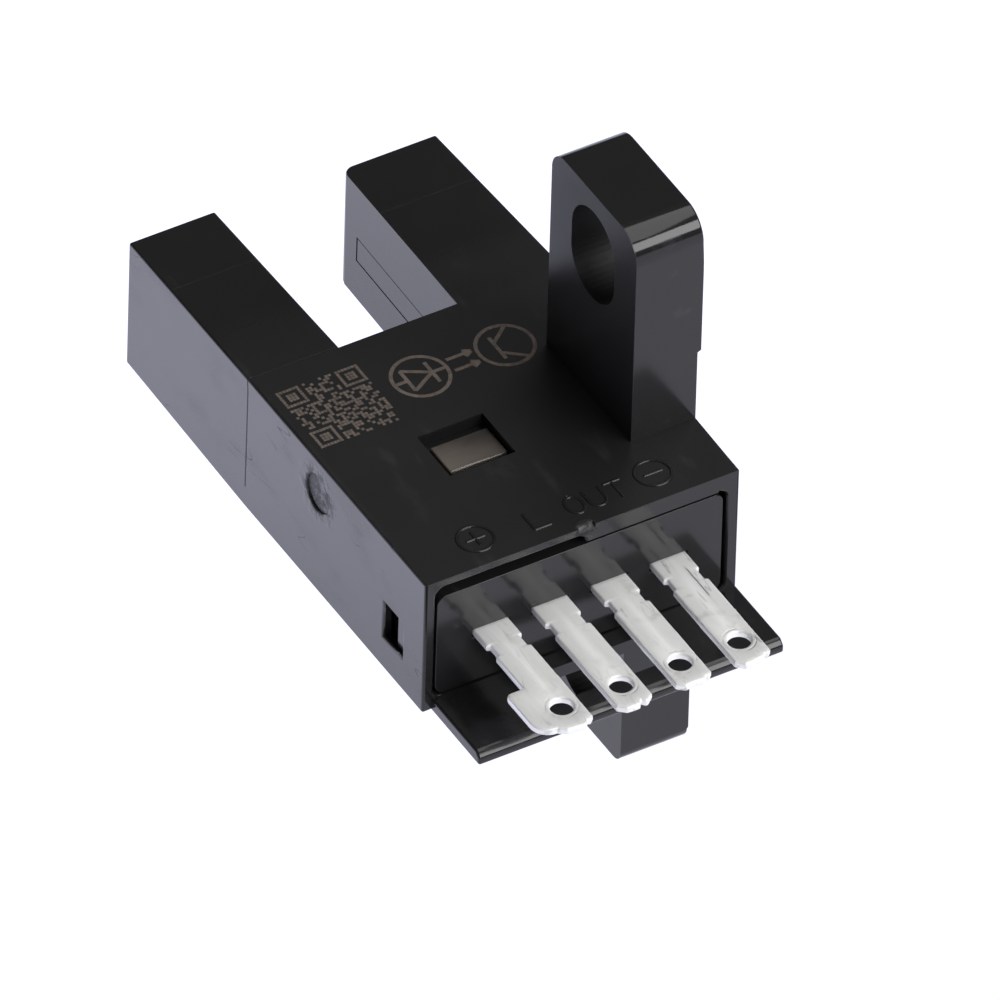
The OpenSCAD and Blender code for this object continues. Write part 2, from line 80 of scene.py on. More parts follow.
# Witness line near the arm tips, inner side of the left arm, and an ejector's ring on the top: X, Y and radius
TIP_LINE_Y = 12.42 * MM
LEFT_ARM_X = -9.5 * MM
EJECTOR = (-7.95 * MM, -3.65 * MM, 1.55 * MM)
# Outer side of the body, and the middle of the dimple on it along Y and Z
SIDE_X = CASE_LOW[0]
DIMPLE = (1.52 * MM, 1.53 * MM)
# Inner face of the two ears, corners of a box around it on each ear, and half sizes of an oblong hole at its height
EAR_X = -2.9 * MM
EAR_FACES = (((EAR_X, -3.2 * MM, 3.3 * MM), (EAR_X, 3.2 * MM, 12.9 * MM)),
             ((EAR_X, -3.2 * MM, -12.9 * MM), (EAR_X, 3.2 * MM, -3.3 * MM)))
HOLE_Z, HOLE_HALF = 9.9 * MM, (1.55 * MM, 2.05 * MM)
# Depth behind the pads where the walls of the holes begin, and start of the ears' rounded corner along Z and Y
HOLE_X = -0.2 * MM
CORNER_Z, CORNER_Y = 11.3 * MM, -1.9 * MM
# Corners of a box around the rim of the indicator pocket
POCKET_RIM = ((-9.8 * MM, -1.8 * MM, 3.0 * MM), (-6.4 * MM, 1.2 * MM, 3.2 * MM))
# Corners of the window through the shelf for a plug's latch, and the middle of the gate nick in the upper rim
LATCH_LOW, LATCH_HIGH = np.array((-9.3, -8.7, -3.5)) * MM, np.array((-4.3, -7.05, -2.3)) * MM
GATE = (-6.665 * MM, RIM_Y)

# Row of the raised marks beside the terminals, and how far the letters stand nearer to the rim
MARK_ROW = RIM_Y + 1.38 * MM
LETTER_DROP = 0.15 * MM

# Floor of the stage, just under the lower ear; millimetres between which its light goes from near to far along the
# view, and from a painted shadow of the object to open floor towards the left
FLOOR_Z = CASE_LOW[2] - 0.02 * MM
FAR_SIDE = (-6.0, 16.0)
PAINTED_SHADOW_EDGE = (16.0, 30.0)
# Heights of a direction between which the surroundings go from horizon to zenith, and from the ground to the horizon
SKY_BAND = (0.12, 0.6)
GROUND_BAND = (-0.02, -0.005)
# Soft boxes: way from the object, distance, width and height
FRONT_BOX = ((0.389, -0.771, 0.504), 0.7, 0.75, 0.3)
TOP_BOX = ((0.389, -0.08, 0.917), 0.7, 0.7, 0.34)

# Camera of the photograph: where it looks from, what it aims at and how far it stands
CAMERA_AZIMUTH = math.radians(-31.426)
CAMERA_ELEVATION = math.radians(41.706)
CAMERA_ROLL = math.radians(1.77)
CAMERA_DISTANCE = 1.76727
CAMERA_AIM = Vector((-7.0, 3.67, 2.13)) * MM
CAMERA_OFFSET = (2.160 * MM, -4.011 * MM)
CAMERA_LENS = 1730.2
CAMERA_SENSOR = 36.0


def length(name, description, millimetres):
    """A length property, given in millimetres and kept in metres."""
    return FloatProperty(name=name, description=description, default=millimetres * MM, min=0.0,
                         precision=6, unit="LENGTH")


def share(name, description, default, top=1.0):
    """A plain number from nought to a top value."""
    return FloatProperty(name=name, description=description, default=default, min=0.0, max=top)


def colour(name, description, default):
    """A linear colour."""
    return FloatVectorProperty(name=name, description=description, default=default, size=3, min=0.0,
                               max=1.0, subtype="COLOR")


class CaseSettings(PropertyGroup):
    """Finish of the case moulding and of the base that closes it."""

    edge: length("Edge radius", "Rounding of the moulded edges", 0.1)
    base_edge: length("Base edge radius", "Rounding of the edges of the terminal base", 0.03)
    black: colour("Black", "Colour of the black plastic", (0.0120, 0.0118, 0.0126))
    # Colour of rubbed spots, also used for the painted lighter tone on the tops of the arm tips
    scuffed_and_painted_light: colour("Scuffed", "Colour of rubbed spots on the black plastic", (0.034, 0.034, 0.038))
    dust: colour("Dust", "Colour of the specks of dust", (0.3, 0.3, 0.3))
    satin: share("Case roughness", "Roughness of the case's satin faces", 0.16)
    gloss: share("Base roughness", "Roughness of the base's glossy face", 0.13)


class TerminalSettings(PropertyGroup):
    """Shape and finish of the four stamped terminals."""

    width: length("Width", "Width of a blade", 1.5)
    thickness: length("Thickness", "Thickness of the strip", 0.3)
    edge: length("Edge radius", "Rolled edge that the stamping leaves", 0.08)
    eye: length("Eye", "Diameter of the solder hole", 0.9)
    eye_from_tip: length("Eye from tip", "Middle of the solder hole from the tip", 1.27)
    tip_cut: length("Tip cut", "Corner cut at the tip", 0.3)
    rag: length("Ragged tip", "How deep the sheared tip is torn", 0.18)
    notch: length("Notch depth", "Depth of the notch on each side", 0.13)
    notch_l: length("Notch length", "Length of the notch on each side", 0.6)
    notch_y: length("Notch from rim", "Start of the notch from the case's rim", 0.9)
    tab: length("Tab", "How far the first terminal's tab stands out", 0.75)
    tab_l: length("Tab length", "Length of the first terminal's tab", 2.5)
    tab_from_tip: length("Tab from tip", "Start of the first terminal's tab from the tip", 0.3)
    tail: length("Tail width", "Width of the tail that goes through the board", 0.7)
    bend: length("Tail bend", "Radius of the bend at the middle of the tail", 0.3)
    tin: colour("Tin", "Colour of the tinned strip", (0.83, 0.83, 0.82))
    # Colour of worn tin, also used for the painted shade in the crease of the pressed ring
    worn_and_shaded: colour("Worn tin", "Colour of rubbed and stained spots on the tin", (0.30, 0.30, 0.30))
    seed: IntProperty(name="Seed", description="Start of the tips' random shapes", default=7)


class MarkSettings(PropertyGroup):
    """Raised and burnt-in marks on the top of the body."""

    ridge_w: length("Ridge width", "Width of a raised line", 0.13)
    ridge_h: length("Ridge height", "Height of a raised line", 0.045)
    letter_h: length("Letter height", "Height of a raised letter", 0.95)
    ring: length("Ring radius", "Radius of the ring around a pole's sign", 0.7)
    cell: length("Cell", "Size of a cell in the burnt-in patch", 0.138)
    stroke: length("Stroke", "Width of a burnt-in line", 0.15)
    burn_h: length("Burn height", "How far a burnt-in mark stands up", 0.008)
    burn: colour("Burn", "Colour of a burnt-in mark", (0.165, 0.132, 0.112))
    seed: IntProperty(name="Seed", description="Start of the patch's random cells", default=21)


class WindowSettings(PropertyGroup):
    """Finish of the indicator plate and of the two arm windows."""

    edge: length("Plate edge radius", "Rounding of the indicator plate's edges", 0.07)
    plate: colour("Plate", "Colour of the indicator plate", (0.088, 0.075, 0.065))
    filter: colour("Filter", "Colour of the infrared-pass plates", (0.012, 0.010, 0.013))


class StageSettings(PropertyGroup):
    """Floor, surrounding light and soft boxes of the studio."""

    floor: length("Floor radius", "Radius of the floor", 3000.0)
    floor_glow: share("Floor light", "Light that the floor gives off at its brightest", 2.0, 10.0)
    floor_near: colour("Near floor", "Tint of the floor's light on the near side", (0.51, 0.515, 0.575))
    floor_far: colour("Far floor", "Tint of the floor's light on the far side", (0.82, 0.835, 1.0))
    ground: share("Ground", "Light of the ground beyond the floor", 1.0, 10.0)
    horizon: share("Horizon", "Light of the surroundings near the floor", 0.06, 10.0)
    zenith: share("Zenith", "Light of the surroundings overhead", 0.14, 10.0)
    front: share("Front box", "Brightness of the front soft box", 7.2, 100.0)
    top: share("Top box", "Brightness of the top soft box", 2.4, 100.0)


SETTINGS = {
    "switch_case": CaseSettings,
    "switch_terminal": TerminalSettings,
    "switch_mark": MarkSettings,
    "switch_window": WindowSettings,
    "switch_stage": StageSettings,
}


# Materials


class Wire:
    """One shader socket in Python arithmetic: an expression on wires adds the Math nodes that work it out."""

    def __init__(self, finish, socket):
        self.finish, self.socket = finish, socket

    def math(self, operation, *values):
        return self.finish.node("ShaderNodeMath", {"operation": operation}, dict(enumerate(values)))

    def __add__(self, other):
        return self.math("ADD", self, other)

    def __mul__(self, other):
        return self.math("MULTIPLY", self, other)

    def __sub__(self, other):
        return self.math("SUBTRACT", self, other)

    def __rsub__(self, other):
        return self.math("SUBTRACT", other, self)

    def __pow__(self, other):
        return self.math("POWER", self, other)

    def __abs__(self):
        return self.math("ABSOLUTE", self)

    __radd__, __rmul__ = __add__, __mul__


class Finish:
    """A procedural material on a piece's own coordinates, in millimetres."""

    def __init__(self, name, roughness, **fixed):
        self.material = bpy.data.materials.new(name)
        self.material.use_nodes = True
        self.tree = self.material.node_tree
        self.shader = next(n for n in self.tree.nodes if n.type == "BSDF_PRINCIPLED")
        self.shader.inputs["Roughness"].default_value = roughness
        for socket, value in fixed.items():
            self.shader.inputs[socket.replace("_", " ")].default_value = value
        place = self.node("ShaderNodeTexCoord", out="Object")
        self.mm = self.node("ShaderNodeMapping", inputs={"Vector": place, "Scale": (1 / MM,) * 3})

    def node(self, kind, settings=None, inputs=None, out=0):
        """Adds a node: its settings first, then values or links by socket; gives one output as a wire."""
        new = self.tree.nodes.new(kind)
        for key, value in (settings or {}).items():
            setattr(new, key, value)
        for key, value in (inputs or {}).items():
            if isinstance(value, Wire):
                self.tree.links.new(value.socket, new.inputs[key])
            else:
                new.inputs[key].default_value = value
        return Wire(self, new.outputs[out])

    def axis(self, name):
        """One coordinate of the piece, in millimetres."""
        return self.node("ShaderNodeSeparateXYZ", inputs={0: self.mm}, out=name)

    def noise(self, scale, detail=2.0, stretch=None):
        """Cloudy noise from 0 to 1, with scale in cells a millimetre, drawn out along an axis where asked."""
        place = self.mm
        if stretch:
            place = self.node("ShaderNodeMapping", inputs={"Vector": self.mm, "Scale": stretch})
        return self.node("ShaderNodeTexNoise", inputs={"Vector": place, "Scale": scale, "Detail": detail})

    def specks(self, scale, size):
        """Sparse dots: 1 within a size of the middle of a cell, and only in some of the cells."""
        kind = {"feature": "F1"}
        wanted = {"Vector": self.mm, "Scale": scale}
        near = self.node("ShaderNodeTexVoronoi", kind, wanted, out="Distance")
        draw = self.node("ShaderNodeTexVoronoi", kind, wanted, out="Color")
        chosen = self.rise(self.node("ShaderNodeSeparateColor", inputs={0: draw}), 0.9, 0.92)
        return chosen * self.fall(near, size * 0.5, size)

    def rise(self, value, low, high):
        """Smooth step from 0 at the low value to 1 at the high one."""
        return self.node("ShaderNodeMapRange", {"interpolation_type": "SMOOTHSTEP"},
                         {"Value": value, "From Min": low, "From Max": high})

    def fall(self, value, low, high):
        """Smooth step from 1 at the low value to 0 at the high one."""
        return 1 - self.rise(value, low, high)

    def distance(self, first, first_at, second, second_at):
        """Distance in a plane from one point, in millimetres."""
        first, second = first - first_at, second - second_at
        return (first * first + second * second) ** 0.5

    def line(self, value, at, width):
        """Thin band around one value: 1 on it, falling to 0 half a width away."""
        return self.fall(abs(value - at), width * 0.15, width * 0.5)

    def mix(self, factor, first, second):
        """Colour that goes from the first to the second with the factor."""
        ends = {key: end if isinstance(end, Wire) else (*end, 1.0) for key, end in ((6, first), (7, second))}
        return self.node("ShaderNodeMix", {"data_type": "RGBA"}, {0: factor, **ends}, out=2)

    def feed(self, socket, wire):
        """Links a wire to the shader."""
        self.tree.links.new(wire.socket, self.shader.inputs[socket])

    def bump(self, height, depth):
        """Feeds the shader's normal from a height of 0 to 1 and a depth in millimetres."""
        self.feed("Normal", self.node("ShaderNodeBump", inputs={"Height": height, "Distance": depth * MM}))


def black_plastic(name, roughness, marks=False):
    """Moulded black plastic: fine grain, slow waves in the gloss, rubbed spots, specks of dust and, on the case,
    what the mould left on it, with painted shade in its holes and pocket and painted light on the arm tips."""
    look = bpy.context.scene.switch_case
    it = Finish(name, roughness, IOR=1.43)
    cloud, grain = it.noise(0.33, 3.0), it.noise(16.0, 1.0)
    rub = it.rise(it.noise(1.1, 5.0, (1.0, 0.35, 1.0)), 0.6, 0.8)
    dust = it.specks(1.4, 0.028)
    base = it.mix(cloud, tuple(0.85 * c for c in look.black), tuple(1.2 * c for c in look.black))
    base = it.mix(rub * 0.35, base, tuple(look.scuffed_and_painted_light))
    rough = rub * 0.1 + grain * 0.04 + dust * 0.3 + cloud * 0.06 + (roughness - 0.05)
    height = grain * 0.05 + it.noise(0.5, 1.0) * 0.9
    if marks:
        base, rough, height = mould_marks_and_painted_light(it, look, base, rough, height)
    it.feed("Base Color", it.mix(dust, base, tuple(look.dust)))
    it.feed("Roughness", rough)
    it.bump(height, 0.006)
    return it.material


def mould_marks_and_painted_light(it, look, base, rough, height):
    """What the mould and its use left on the case: witness lines, an ejector's ring, torn plastic at the dimple and
    the gate, smudges and scratches on the outer side, and matt faces on the top, the ears, in their holes and in the
    indicator pocket. The holes and the pocket also get painted shade, a darker colour in place of the shade in them,
    and the tops of the arm tips get painted light, a lighter colour in place of the shading of a step."""
    x, y, z = it.axis("X"), it.axis("Y"), it.axis("Z")
    tall = abs(z)
    side = it.fall(x, SIDE_X / MM + 0.12, SIDE_X / MM + 0.3)
    near_top, on_top = it.rise(z, 2.6, 2.8), it.rise(z, 3.0, 3.1)
    smudge = it.rise(it.noise(0.42, 5.0, (1.0, 0.7, 1.3)), 0.48, 0.68)
    scratch = it.line(it.noise(0.7, 1.0, (1.0, 0.2, 1.0)), 0.5, 0.008) * it.rise(it.noise(0.5), 0.5, 0.56)
    floor_line = it.line(y, SLOT_FLOOR_Y / MM, 0.13) * it.rise(z, -2.2, -2.05) * side
    arm_line = it.line(y, TIP_LINE_Y / MM, 0.06) * near_top \
        + it.line(y, SLOT_FLOOR_Y / MM, 0.06) * on_top * it.fall(x, LEFT_ARM_X / MM - 0.2, LEFT_ARM_X / MM)
    ring = it.line(it.distance(x, EJECTOR[0] / MM, y, EJECTOR[1] / MM), EJECTOR[2] / MM, 0.08) * on_top
    halo = it.fall(it.distance(y, DIMPLE[0] / MM, z, DIMPLE[1] / MM), 0.7, 1.5)
    nick = it.fall(it.distance(x, GATE[0] / MM, y, GATE[1] / MM), 0.35, 0.5) * near_top
    torn = (halo * side + nick) * it.rise(it.noise(2.6, 5.0), 0.38, 0.62)
    off_ear = it.rise(x, EAR_X / MM + 0.02, EAR_X / MM + 0.06)
    ear = (1 - off_ear) * it.rise(tall, 3.2, 3.4)
    corner = it.rise(tall, CORNER_Z / MM, CORNER_Z / MM + 0.3) * it.fall(y, CORNER_Y / MM - 0.3, CORNER_Y / MM)
    hole = off_ear * it.fall(x, HOLE_X / MM - 0.04, HOLE_X / MM) \
        * it.fall(abs(y), HOLE_HALF[0] / MM + 0.02, HOLE_HALF[0] / MM + 0.06) \
        * it.fall(abs(tall - HOLE_Z / MM), HOLE_HALF[1] / MM + 0.02, HOLE_HALF[1] / MM + 0.06)
    middle, half = (PLATE_LOW + PLATE_HIGH) / 2 / MM, (PLATE_HIGH - PLATE_LOW) / 2 / MM + 0.6
    pocket = it.fall(abs(x - middle[0]), half[0], half[0] + 0.1) * it.fall(abs(y - middle[1]), half[1], half[1] + 0.1) \
        * it.fall(z, 3.0, 3.05) * it.rise(z, 1.0, 1.1)
    top = it.rise(z, 3.05, 3.1) * it.fall(z, 3.2, 3.3)
    # Painted light: the tops of the arm tips past the witness line are made lighter, in place of the shading of a step
    tip = it.rise(y, TIP_LINE_Y / MM - 0.02, TIP_LINE_Y / MM + 0.04) * on_top
    base = it.mix(tip * 0.2, base, tuple(look.scuffed_and_painted_light))
    # Painted shade: the walls of the ear holes and the indicator pocket are darkened in colour where shade falls in
    # them
    base = it.mix(hole + pocket, base, tuple(0.2 * c for c in look.black))
    rough = rough + top * 0.2 + ear * 0.16 + hole * 0.4 + pocket * 0.4 + nick * 0.2 + torn * 0.3 \
        - corner * (1 - ear) * 0.07 + side * (smudge * 0.13 + scratch * 0.25 + floor_line * 0.5 + halo * 0.1)
    height = height - floor_line * 2.2 - arm_line * 0.5 - ring * 0.3 + torn * 4.0
    return base, rough, height


def tinned_strip(name, worn_share, eye, score):
    """Matt tin on stamped strip: faint rolling lines along the strip, stains, rubbed spots, hair scratches, a pressed
    ring round the eye with painted shade in its crease and, with a share of its own, one long score beside the middle."""
    look = bpy.context.scene.switch_terminal
    it = Finish(name, 0.42, Metallic=0.25, IOR=1.6)
    rolled = it.noise(9.0, 3.0, (1.0, 0.06, 1.0))
    stain = it.rise(it.noise(1.3, 6.0), 0.56, 0.72)
    smear = it.rise(it.noise(2.2, 4.0, (1.0, 0.25, 1.0)), 0.62, 0.7)
    scratch = it.line(it.noise(1.6, 1.0, (1.0, 0.12, 1.0)), 0.5, 0.012) * it.rise(it.noise(0.8), 0.5, 0.6)
    x, y = it.axis("X"), it.axis("Y")
    around = it.distance(x, eye[0] / MM, y, eye[1] / MM)
    # Pressed ring: a real dent in the bump, with painted shade darkening its crease
    ring = it.line(around, 0.62, 0.1) * it.rise(it.noise(1.9, 3.0), 0.42, 0.6)
    scored = it.line(x, eye[0] / MM + 0.28, 0.08) * it.rise(y, -8.9, -8.5) * it.fall(y, -7.2, -6.8) * score
    wear_and_painted_shade = (stain * 0.3 + smear * 0.5 + scratch * 0.5) * worn_share + ring * 0.25 + scored * 0.9
    tone = it.mix(rolled, tuple(0.94 * c for c in look.tin), tuple(min(1.0, 1.04 * c) for c in look.tin))
    it.feed("Base Color", it.mix(wear_and_painted_shade, tone, tuple(look.worn_and_shaded)))
    it.feed("Roughness", rolled * 0.12 + stain * 0.1 + 0.36)
    it.bump(rolled * 0.5 + it.noise(5.0, 4.0) * 0.5 - scratch * 0.4 - ring * 1.2 - scored * 1.5, 0.012)
    return it.material


def indicator_plastic():
    """Smoky clear plastic over a light pipe: warm grey with painted light, lighter at the front edge and darker away
    from it, with a flow mark.
    """
    look = bpy.context.scene.switch_window
    it = Finish("indicator_plastic", 0.16, IOR=1.5, Coat_Weight=0.3)
    low, high = PLATE_LOW / MM, PLATE_HIGH / MM
    # Painted light: the plate's colour goes from lighter at its front edge to darker away from it, in place of how
    # light falls
    across = it.rise(it.axis("Y") + it.axis("X") * 0.6, low[1] + low[0] * 0.6, high[1] + high[0] * 0.6)
    flow = it.noise(0.9, 3.0, (1.0, 2.0, 1.0))
    tone = it.mix(across * 0.75 + flow * 0.25, tuple(1.8 * c for c in look.plate), tuple(0.1 * c for c in look.plate))
    it.feed("Base Color", tone)
    it.feed("Roughness", flow * 0.1 + 0.12)
    it.bump(flow + it.noise(14.0) * 0.05, 0.01)
    return it.material


def cloudy(name, first, second, scale, roughness, **fixed):
    """Two-tone finish that drifts with a cloudy noise and has a fine grain, for the pieces inside."""
    it = Finish(name, roughness, **fixed)
    cloud, grain = it.noise(scale, 4.0), it.noise(scale * 9.0)
    it.feed("Base Color", it.mix(cloud, first, second))
    it.feed("Roughness", cloud * 0.15 + grain * 0.05 + (roughness - 0.1))
    it.bump(cloud * 0.6 + grain * 0.4, 0.004)
    return it.material


def circuit_board():
    """Green mask over glass weave, with darker tracks that run both ways."""
    it = Finish("board", 0.35, Coat_Weight=0.2)
    x, y = it.axis("X"), it.axis("Y")
    weave = it.node("ShaderNodeMath", {"operation": "SINE"}, {0: x * 18.0}) \
        * it.node("ShaderNodeMath", {"operation": "SINE"}, {0: y * 18.0})
    track = it.rise(it.noise(0.9, 0.0, (1.0, 0.2, 1.0)), 0.52, 0.54)
    it.feed("Base Color", it.mix(track, (0.012, 0.09, 0.04), (0.02, 0.16, 0.07)))
    it.feed("Roughness", weave * 0.04 + track * 0.1 + 0.32)
    it.bump(weave * 0.2 + track * 0.8, 0.01)
    return it.material


def burnt_mark():
    """Foamed plastic of a burnt-in mark: warm grey-brown, matt and patchy."""
    look = bpy.context.scene.switch_mark
    it = Finish("burnt_mark", 0.75, IOR=1.46)
    patch = it.noise(5.0, 4.0)
    it.feed("Base Color", it.mix(it.rise(patch, 0.3, 0.7), tuple(0.62 * c for c in look.burn), tuple(look.burn)))
    it.feed("Roughness", patch * 0.3 + 0.6)
    it.bump(it.noise(22.0, 3.0), 0.006)
    return it.material


# Surfaces


def grid_quads(rows, columns, rows_closed, columns_closed):
    """Corner numbers of the faces of a grid whose points run row by row, joined round where a way is closed."""
    r = np.arange(rows if rows_closed else rows - 1)[:, None]
    c = np.arange(columns if columns_closed else columns - 1)[None, :]
    r1, c1 = (r + 1) % rows, (c + 1) % columns
    corners = [r * columns + c, r * columns + c1, r1 * columns + c1, r1 * columns + c]
    return np.stack(np.broadcast_arrays(*corners), axis=-1).reshape(-1, 4)


def put_piece(name, shells, material, replaced=(), smooth=True):
    """Makes one object of closed shells, each a set of points in metres and a list of faces, and has it ride along."""
    mesh = bpy.data.meshes.new(name)
    points, faces, count = [], [], 0
    for shell_points, shell_faces in shells:
        points.append(np.asarray(shell_points, float).reshape(-1, 3))
        faces += [[corner + count for corner in face] for face in shell_faces]
        count += len(points[-1])
    mesh.from_pydata(np.concatenate(points).tolist(), [], faces)
    work = bmesh.new()
    work.from_mesh(mesh)
    bmesh.ops.recalc_face_normals(work, faces=work.faces)
    work.to_mesh(mesh)
    work.free()
    mesh.polygons.foreach_set("use_smooth", [smooth] * len(mesh.polygons))
    mesh.set_sharp_from_angle(angle=math.radians(ROUND_UP_TO))
    return dress(bpy.data.objects.new(name, mesh), material, replaced)


def dress(piece, material, replaced=()):
    """Gives a new piece its finish and its place in the frame."""
    bpy.context.scene.collection.objects.link(piece)
    piece.data.materials.clear()
    piece.data.materials.append(material)
    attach(piece, "root")
    for node in replaced:
        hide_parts(node)
    return piece


def swept(path, profile, side, closed=False):
    """Profile carried along a path: each point is path + a * side + b * up, where (a, b) runs round the profile
    and up is square to the path and to the side. An open path is closed by its two end faces."""
    path = np.asarray(path, float)
    ahead = (np.roll(path, -1, 0) - np.roll(path, 1, 0)) if closed else np.gradient(path, axis=0)
    ahead /= np.linalg.norm(ahead, axis=1, keepdims=True)
    side = np.broadcast_to(np.asarray(side, float), path.shape) if side is not None \
        else np.cross((0.0, 0.0, 1.0), ahead)
    up = np.cross(ahead, side)
    profile = np.asarray(profile, float)
    points = path[:, None] + profile[None, :, :1] * side[:, None] + profile[None, :, 1:] * up[:, None]
    rows, columns = points.shape[:2]
    faces = grid_quads(rows, columns, closed, True).tolist()
    if not closed:
        faces += [list(range(columns))[::-1], list(range((rows - 1) * columns, rows * columns))]
    return points.reshape(-1, 3), faces


def ridge_profile(width, height):
    """Half ellipse with a foot: a = cos(t) * width / 2, b = sin(t) * height, set a little into its carrier."""
    t = np.linspace(0, math.pi, 9)
    crown = np.stack([np.cos(t) * width / 2, np.sin(t) * height], axis=1)
    return np.concatenate([[(width / 2, -height)], crown, [(-width / 2, -height)]])


def flat_profile(width, height):
    """Rectangle that stands a height above its carrier and reaches as far into it."""
    return np.array([(width, -2 * height), (width, 2 * height), (-width, 2 * height), (-width, -2 * height)]) / 2


def arc(centre, radius, start, end, count=25):
    """Points of a circle between two angles in degrees, flat at the height of the top face."""
    t = np.radians(np.linspace(start, end, count))
    return np.stack([centre[0] + radius * np.cos(t), centre[1] + radius * np.sin(t), np.full(count, TOP_Z)], axis=1)


def straight(first, last, count=2):
    """Points of a straight line on the top face."""
    return np.linspace((*first, TOP_Z), (*last, TOP_Z), count)


def along_edges(corners, step):
    """Points along a closed run of straight edges, evenly spaced on each edge and with every corner kept."""
    corners = np.asarray(corners, float)
    following = np.roll(corners, -1, axis=0)
    counts = np.maximum(1, np.ceil(np.linalg.norm(following - corners, axis=1) / step)).astype(int)
    edge = np.repeat(np.arange(len(corners)), counts)
    first = np.repeat(np.cumsum(counts) - counts, counts)
    t = ((np.arange(counts.sum()) - first) / counts[edge])[:, None]
    return corners[edge] * (1 - t) + following[edge] * t


def pierced_plate(outline, track, hole, eye, bottom, top, edge):
    """Flat plate with one hole, as a ring closed both ways. Each point of the outline has a point on a track inside
    it and a point on the hole, and a loop joins them: up the outer wall, over the top by the track to the hole, down
    its wall and back underneath, with quarter-round edges of the given radius."""
    t = np.radians(np.linspace(0, 90, 4))
    inset, drop = edge * (1 - np.cos(t)), edge * (1 - np.sin(t))

    def step(start, way):
        way = way / np.linalg.norm(way, axis=1, keepdims=True)
        return start[:, None] + way[:, None] * inset[None, :, None]

    outer, inner = step(outline, track - outline), step(hole, hole - eye)
    middle = track[:, None]
    flat = np.concatenate([outer[:, ::-1], outer, middle, inner[:, ::-1], inner, middle], axis=1)
    rise = np.concatenate([bottom + drop[::-1], top - drop, [top], top - drop[::-1], bottom + drop, [bottom]])
    points = np.concatenate([flat, np.broadcast_to(rise[None, :, None], (*flat.shape[:2], 1))], axis=-1)
    return points.reshape(-1, 3), grid_quads(*flat.shape[:2], True, True).tolist()


def rounded_copy(node, name, radius, material, crisp=()):
    """Copy of a CAD node with its loose triangles merged into flat faces and its edges rounded by a bevel. An edge
    stays sharp in an inner corner, inside the boxes given as crisp, and where a short edge or one at a sharp angle
    meets it, so that fine grooves stay open. Broad faces are shaded flat; thin ones, of a curve or a bevel, are shaded
    round. The bevel's rounding errors are clipped to the node's box."""
    work = bmesh.new()
    work.from_mesh(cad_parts[node].data)
    bmesh.ops.remove_doubles(work, verts=work.verts, dist=DOUBLES)
    bmesh.ops.dissolve_limit(work, angle_limit=math.radians(PLANE), verts=work.verts, edges=work.edges)
    rounded = []
    for edge in work.edges:
        angle = math.degrees(edge.calc_face_angle(0.0))
        edge.smooth = angle < SHARP
        if angle > SHARP:
            middle = (edge.verts[0].co + edge.verts[1].co) / 2
            turns = [(edge.other_vert(end).co - end.co, other.other_vert(end).co - end.co)
                     for end in edge.verts for other in end.link_edges
                     if other is not edge and math.degrees(other.calc_face_angle(0.0)) > SHARP]
            cosines = [way.normalized().dot(other.normalized()) for way, other in turns]
            short = min((other.length for (way, other), c in zip(turns, cosines) if abs(c) < 0.94), default=1.0)
            held = any(all(low[k] - MARGIN < middle[k] < high[k] + MARGIN for k in range(3)) for low, high in crisp)
            if edge.is_convex and short > ROOM * radius and max(cosines, default=0.0) < 0.9 and not held:
                edge.smooth = True
                rounded.append(edge)
    bmesh.ops.bevel(work, geom=rounded, offset=radius, offset_type="OFFSET", segments=ROUNDING_STEPS,
                    profile=0.5, affect="EDGES", clamp_overlap=False)
    bmesh.ops.dissolve_degenerate(work, dist=DOUBLES / 4, edges=work.edges)
    for face in work.faces:
        face.smooth = face.calc_area() < THIN * max(edge.calc_length() for edge in face.edges)
    mesh = bpy.data.meshes.new(name)
    work.to_mesh(mesh)
    work.free()
    places = np.empty(3 * len(mesh.vertices), np.float32)
    mesh.vertices.foreach_get("co", places)
    mesh.vertices.foreach_set("co", np.clip(places.reshape(-1, 3), *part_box(node)).ravel())
    return dress(bpy.data.objects.new(name, mesh), material, (node,))


def cut_box(piece, low, high):
    """Cuts a box between two corners out of a piece, and leaves the result as its plain mesh."""
    work = bmesh.new()
    middle, size = (Vector(low) + Vector(high)) / 2, Vector(high) - Vector(low)
    bmesh.ops.create_cube(work, size=1.0, matrix=Matrix.LocRotScale(middle, None, size))
    mesh = bpy.data.meshes.new("cutter")
    work.to_mesh(mesh)
    work.free()
    cutter = bpy.data.objects.new("cutter", mesh)
    bpy.context.scene.collection.objects.link(cutter)
    cut = piece.modifiers.new("cut", "BOOLEAN")
    cut.object, cut.solver = cutter, "EXACT"
    whole = piece.data
    piece.data = bpy.data.meshes.new_from_object(piece.evaluated_get(bpy.context.evaluated_depsgraph_get()))
    piece.modifiers.clear()
    piece.data.name = piece.name
    bpy.data.objects.remove(cutter)
    for spare in (mesh, whole):
        bpy.data.meshes.remove(spare)


# Pieces


class SWITCH_OT_case(Operator):
    """Case moulding with rounded edges and the mould's witness lines, and the glossy base that closes it"""

    bl_idname = "switch.case"
    bl_label = "Case and base"

    def execute(self, context):
        look = context.scene.switch_case
        shell = rounded_copy("case", "case_shell", look.edge, black_plastic("case_plastic", look.satin, True),
                             crisp=(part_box("emitter_window"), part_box("detector_window"), POCKET_RIM, *EAR_FACES))
        cut_box(shell, LATCH_LOW, LATCH_HIGH)
        rounded_copy("terminal_base", "base_plug", look.base_edge, black_plastic("base_plastic", look.gloss))
        return {"FINISHED"}


